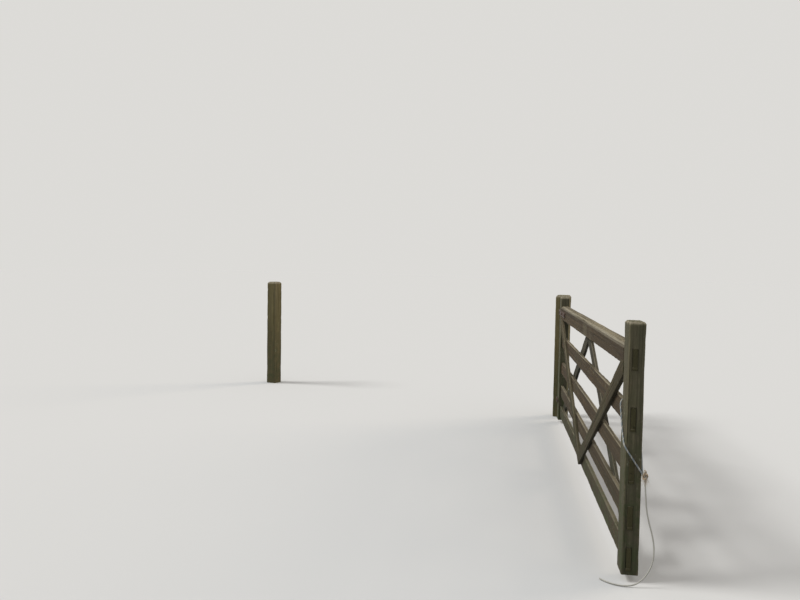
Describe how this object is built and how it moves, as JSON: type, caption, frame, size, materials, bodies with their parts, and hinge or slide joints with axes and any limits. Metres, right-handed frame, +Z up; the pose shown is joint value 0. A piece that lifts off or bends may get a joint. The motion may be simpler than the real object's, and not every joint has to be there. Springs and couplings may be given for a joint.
{
  "type": "wooden field gate with posts",
  "caption": "Weathered five-bar wooden field gate hung open on a square post with hook and band hinges, with the post it shuts against and a tie of twine.",
  "frame": {"origin": "centre of the hanging post's foot, at ground level", "axes": "+X along the gateway from the clapping post to the hanging post, +Z up, and the gate opens towards -Y"},
  "size_m": [5.2242, 3.781, 1.305],
  "materials": {
    "post_timber": "sawn softwood, weathered grey-brown with green algae",
    "gate_timber": "sawn boards, weathered grey-brown, paler and silvered on top edges",
    "brace_timber": "sawn boards, weathered grey-brown",
    "wedge_timber": "split wedges, weathered end grain",
    "rusted_iron": "forged iron, dull and rusted",
    "twine": "twisted polypropylene baler twine, faded blue and white"
  },
  "bodies": {
    "posts": {"hanging_post": "post_timber", "clapping_post": "post_timber", "top_hook": "rusted_iron", "bottom_hook": "rusted_iron", "top_hook_nut": "rusted_iron", "bottom_hook_nut": "rusted_iron"},
    "gate": {"hanging_stile": "gate_timber", "head_stile": "gate_timber", "top_rail": "gate_timber", "second_rail": "gate_timber", "third_rail": "gate_timber", "fourth_rail": "gate_timber", "bottom_rail": "gate_timber", "heel_falling_brace": "brace_timber", "head_falling_brace": "brace_timber", "heel_rising_brace": "brace_timber", "head_rising_brace": "brace_timber", "heel_wedge_1": "wedge_timber", "heel_wedge_2": "wedge_timber", "heel_wedge_3": "wedge_timber", "heel_wedge_4": "wedge_timber", "heel_wedge_5": "wedge_timber", "head_wedge_1": "wedge_timber", "head_wedge_2": "wedge_timber", "head_wedge_3": "wedge_timber", "head_wedge_4": "wedge_timber", "head_wedge_5": "wedge_timber", "top_hinge_band": "rusted_iron", "bottom_hinge_band": "rusted_iron", "top_band_bolts": "rusted_iron", "bottom_band_bolts": "rusted_iron", "twine_loop": "twine", "twine_knot": "twine", "twine_tail": "twine"}
  },
  "joints": [
    {"name": "gate_swing", "type": "hinge", "parent": "posts", "child": "gate", "pos_m": [0.04, -0.16, 0.2], "axis": [0, 0, 1], "range_deg": [-110, 70]}
  ]
}
